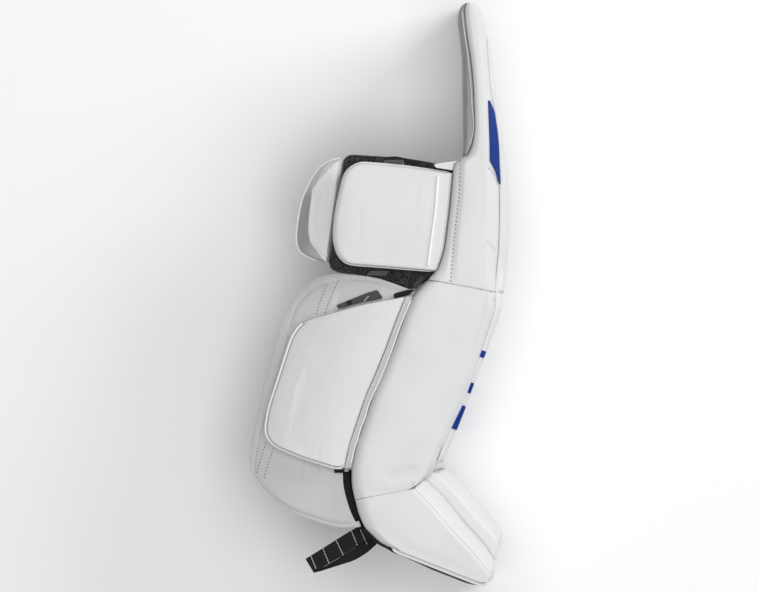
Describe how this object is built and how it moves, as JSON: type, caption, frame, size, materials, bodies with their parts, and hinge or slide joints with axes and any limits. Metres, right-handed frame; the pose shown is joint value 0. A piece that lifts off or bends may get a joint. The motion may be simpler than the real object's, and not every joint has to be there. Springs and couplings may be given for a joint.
{
  "type": "hockey goalie leg pad",
  "caption": "Goalie leg pad with a bent padded body, leg channel, raised face panels, knee block, calf wrap and boot strap, lying on its outer side.",
  "frame": {"origin": "middle of the box round the pad, at the level of the surface on which its outer side wall lies", "axes": "+X from the heel to the face, +Y from the toe to the thigh end, +Z from the outer side to the inner side"},
  "size_m": [0.3896, 0.8796, 0.279],
  "materials": {
    "white_leather": "smooth white synthetic leather, satin",
    "back_leather": "grey soft backing leather",
    "blue_leather": "royal blue synthetic leather, satin",
    "dark_mesh": "dark grey padded mesh",
    "dark_elastic": "dark grey elastic and strap ends",
    "black_webbing": "black woven webbing and lining",
    "grey_strip": "grey flexible hinge strip"
  },
  "bodies": {
    "root": {"thigh_knee_section": "white_leather", "shin_section": "white_leather", "boot_section": "white_leather", "thigh_back_panel": "back_leather", "knee_face_panel": "white_leather", "shin_face_panel": "white_leather", "toe_face_panel": "white_leather", "blue_thigh_insert": "blue_leather", "blue_bar_upper": "blue_leather", "blue_bar_middle": "blue_leather", "blue_bar_lower": "blue_leather", "knee_block": "white_leather", "knee_block_cover": "dark_mesh", "knee_gusset": "white_leather", "knee_tab_upper": "dark_elastic", "knee_tab_lower": "dark_elastic", "knee_wing": "white_leather", "calf_wrap": "white_leather", "calf_landing": "white_leather", "calf_strap_end": "dark_elastic", "calf_strap_hook": "black_webbing", "landing_tab": "black_webbing", "calf_hinge": "grey_strip", "boot_edge_binding": "black_webbing", "boot_liner": "black_webbing", "boot_strap": "black_webbing"}
  },
  "joints": []
}
